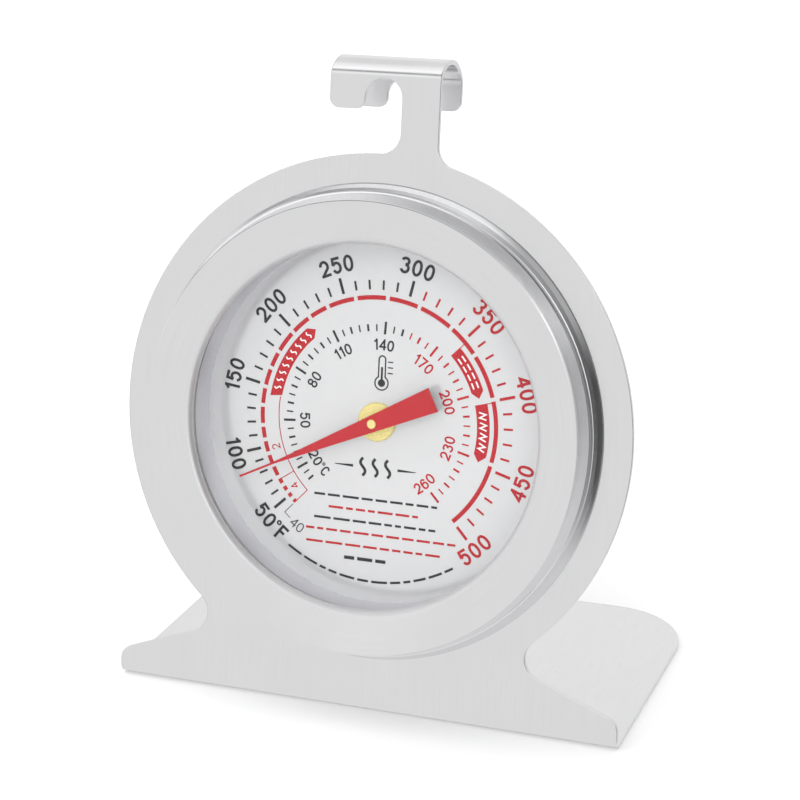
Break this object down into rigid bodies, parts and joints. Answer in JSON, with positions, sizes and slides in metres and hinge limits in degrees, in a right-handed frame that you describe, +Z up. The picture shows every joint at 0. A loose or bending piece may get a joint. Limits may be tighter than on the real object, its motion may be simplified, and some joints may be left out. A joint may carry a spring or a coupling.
{
  "type": "oven thermometer",
  "caption": "Dial oven thermometer: round case in a stamped sheet stand with a flat base, a bent rack hook, a glass window and a pointer driven by a bimetal coil.",
  "frame": {"origin": "middle of the base's underside", "axes": "+Z up from the base, the dial faces -Y and leans back 10 degrees, +X to the right seen from the front"},
  "size_m": [0.0766, 0.0498, 0.0912],
  "materials": {
    "satin_steel": "satin",
    "polished_steel": "polished",
    "ring_steel": "plain",
    "bezel_steel": "satin face, polished skirt",
    "glass": "clear",
    "gasket_rubber": "matt",
    "spacer_steel": "bright",
    "dial_silver": "silver white, semi-gloss, printed",
    "brass": "turned",
    "bridge_steel": "plated",
    "bimetal": "rolled strip",
    "spindle_steel": "ground",
    "pointer_red": "semi-gloss paint"
  },
  "bodies": {
    "housing": {"stand": "satin_steel", "case_cup": "polished_steel", "case_lock_ring": "ring_steel", "bezel_ring": "bezel_steel", "glass_lens": "glass", "lens_gasket": "gasket_rubber", "spacer_ring": "spacer_steel", "dial_plate": "dial_silver", "dial_bush": "brass", "bush_nut": "brass", "coil_bridge": "bridge_steel", "rear_bearing": "brass", "bimetal_coil": "bimetal", "coil_anchor": "brass", "coil_rivet": "ring_steel"},
    "arbor": {"spindle": "spindle_steel", "coil_collet": "brass", "pointer_hub": "brass", "pointer": "pointer_red"}
  },
  "joints": [
    {"name": "pointer_turn", "type": "hinge", "parent": "housing", "child": "arbor", "pos_m": [0, -0.01544, 0.04146], "axis": [0, 0.9848, -0.1736], "range_deg": [-20, 256], "stiffness_Nm_per_rad": 0.002, "deforming": ["bimetal_coil"]}
  ]
}
